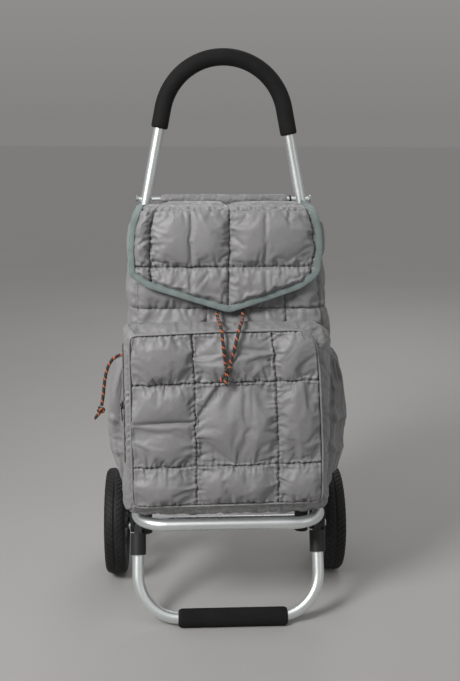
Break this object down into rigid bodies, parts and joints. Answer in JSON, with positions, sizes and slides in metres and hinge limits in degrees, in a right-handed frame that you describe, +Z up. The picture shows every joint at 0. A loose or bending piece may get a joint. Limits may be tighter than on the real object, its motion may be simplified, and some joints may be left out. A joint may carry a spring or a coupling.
{
  "type": "rolling shopping trolley with quilted bag",
  "caption": "Two-wheeled folding shopping trolley: bent tube frame and arched foam handle, fold-up platform and foot loop, quilted bag with flap, pockets and drawcords.",
  "frame": {"origin": "on the floor, midway between the wheels and midway between the bag's front face and the backs of the wheels", "axes": "+Z up along the frame, -Y towards the bag's front, +X along the axle towards the right-hand wheel as the front is seen"},
  "size_m": [0.4468, 0.3665, 0.9708],
  "materials": {
    "tube": "satin anodised aluminium tube",
    "steel": "zinc plated steel",
    "black_plastic": "moulded black plastic",
    "foam": "closed cell foam sleeve",
    "tyre": "solid rubber tyre with chevron tread",
    "puffer": "quilted matt nylon, padded",
    "binding": "woven binding tape with two stitch lines",
    "board": "stiff plastic board",
    "zip": "black coil zip and elastic",
    "cord": "braided cord with an orange tracer"
  },
  "bodies": {
    "root": {"axle": "steel", "axle_clip_left": "steel", "axle_clip_right": "steel", "axle_spacer_left": "black_plastic", "axle_spacer_right": "black_plastic", "bag_body": "puffer", "bracket_bolts_left": "steel", "bracket_bolts_right": "steel", "crossbar": "steel", "crossbar_cap_left": "steel", "crossbar_cap_right": "steel", "crossbar_sleeve": "puffer", "drawcord_guides": "puffer", "drawcord_knot": "cord", "drawcord_left": "cord", "drawcord_right": "cord", "drawcord_tails": "cord", "elastic_hook": "zip", "front_pocket": "puffer", "handle_frame": "tube", "handle_grip": "foam", "platform_pin_left": "steel", "platform_pin_right": "steel", "pocket_piping": "puffer", "rear_bracket_left": "black_plastic", "rear_bracket_right": "black_plastic", "side_cord": "cord", "side_cord_guide": "puffer", "side_cord_knot": "cord", "side_cord_tails": "cord", "side_pocket_left": "puffer", "side_pocket_right": "puffer", "zip_tape": "zip"},
    "platform": {"platform_frame": "tube", "platform_plugs": "black_plastic", "base_board": "board", "foot_pin_left": "steel", "foot_pin_right": "steel", "foot_saddle_left": "black_plastic", "foot_saddle_right": "black_plastic"},
    "foot": {"foot_loop": "tube", "foot_pad": "foam", "foot_socket_left": "black_plastic", "foot_socket_right": "black_plastic"},
    "flap": {"bag_flap": "puffer", "flap_binding": "binding"},
    "zip": {"zip_slider": "zip", "zip_pull": "zip"},
    "wheel_left": {"tyre_left": "tyre", "wheel_rim_left": "black_plastic", "wheel_bush_left": "black_plastic", "hub_cap_left": "black_plastic"},
    "wheel_right": {"tyre_right": "tyre", "wheel_rim_right": "black_plastic", "wheel_bush_right": "black_plastic", "hub_cap_right": "black_plastic"}
  },
  "joints": [
    {"name": "wheel_left_spin", "type": "hinge", "parent": "root", "child": "wheel_left", "pos_m": [-0.203, 0.075, 0.1], "axis": [1, 0, 0], "continuous": true},
    {"name": "wheel_right_spin", "type": "hinge", "parent": "root", "child": "wheel_right", "pos_m": [0.203, 0.075, 0.1], "axis": [1, 0, 0], "continuous": true},
    {"name": "platform_fold", "type": "hinge", "parent": "root", "child": "platform", "pos_m": [0, 0.03, 0.1877], "axis": [-1, 0, 0], "range_deg": [0, 85], "deforming": ["bag_body", "front_pocket", "pocket_piping", "side_pocket_left", "side_pocket_right", "zip_tape", "drawcord_guides", "side_cord_guide"]},
    {"name": "foot_fold", "type": "hinge", "parent": "platform", "child": "foot", "pos_m": [0, -0.0866, 0.1597], "axis": [1, 0, 0], "range_deg": [0, 108]},
    {"name": "flap_open", "type": "hinge", "parent": "root", "child": "flap", "pos_m": [0, 0.0884, 0.7077], "axis": [-1, 0, 0], "range_deg": [0, 85]},
    {"name": "zip_slide", "type": "slide", "parent": "root", "child": "zip", "axis": [0, 0, 1], "range_m": [-0.08, 0.09]}
  ],
  "couplings": [
    {"joint": "foot_fold", "follows": "platform_fold", "ratio": 1.2647}
  ]
}
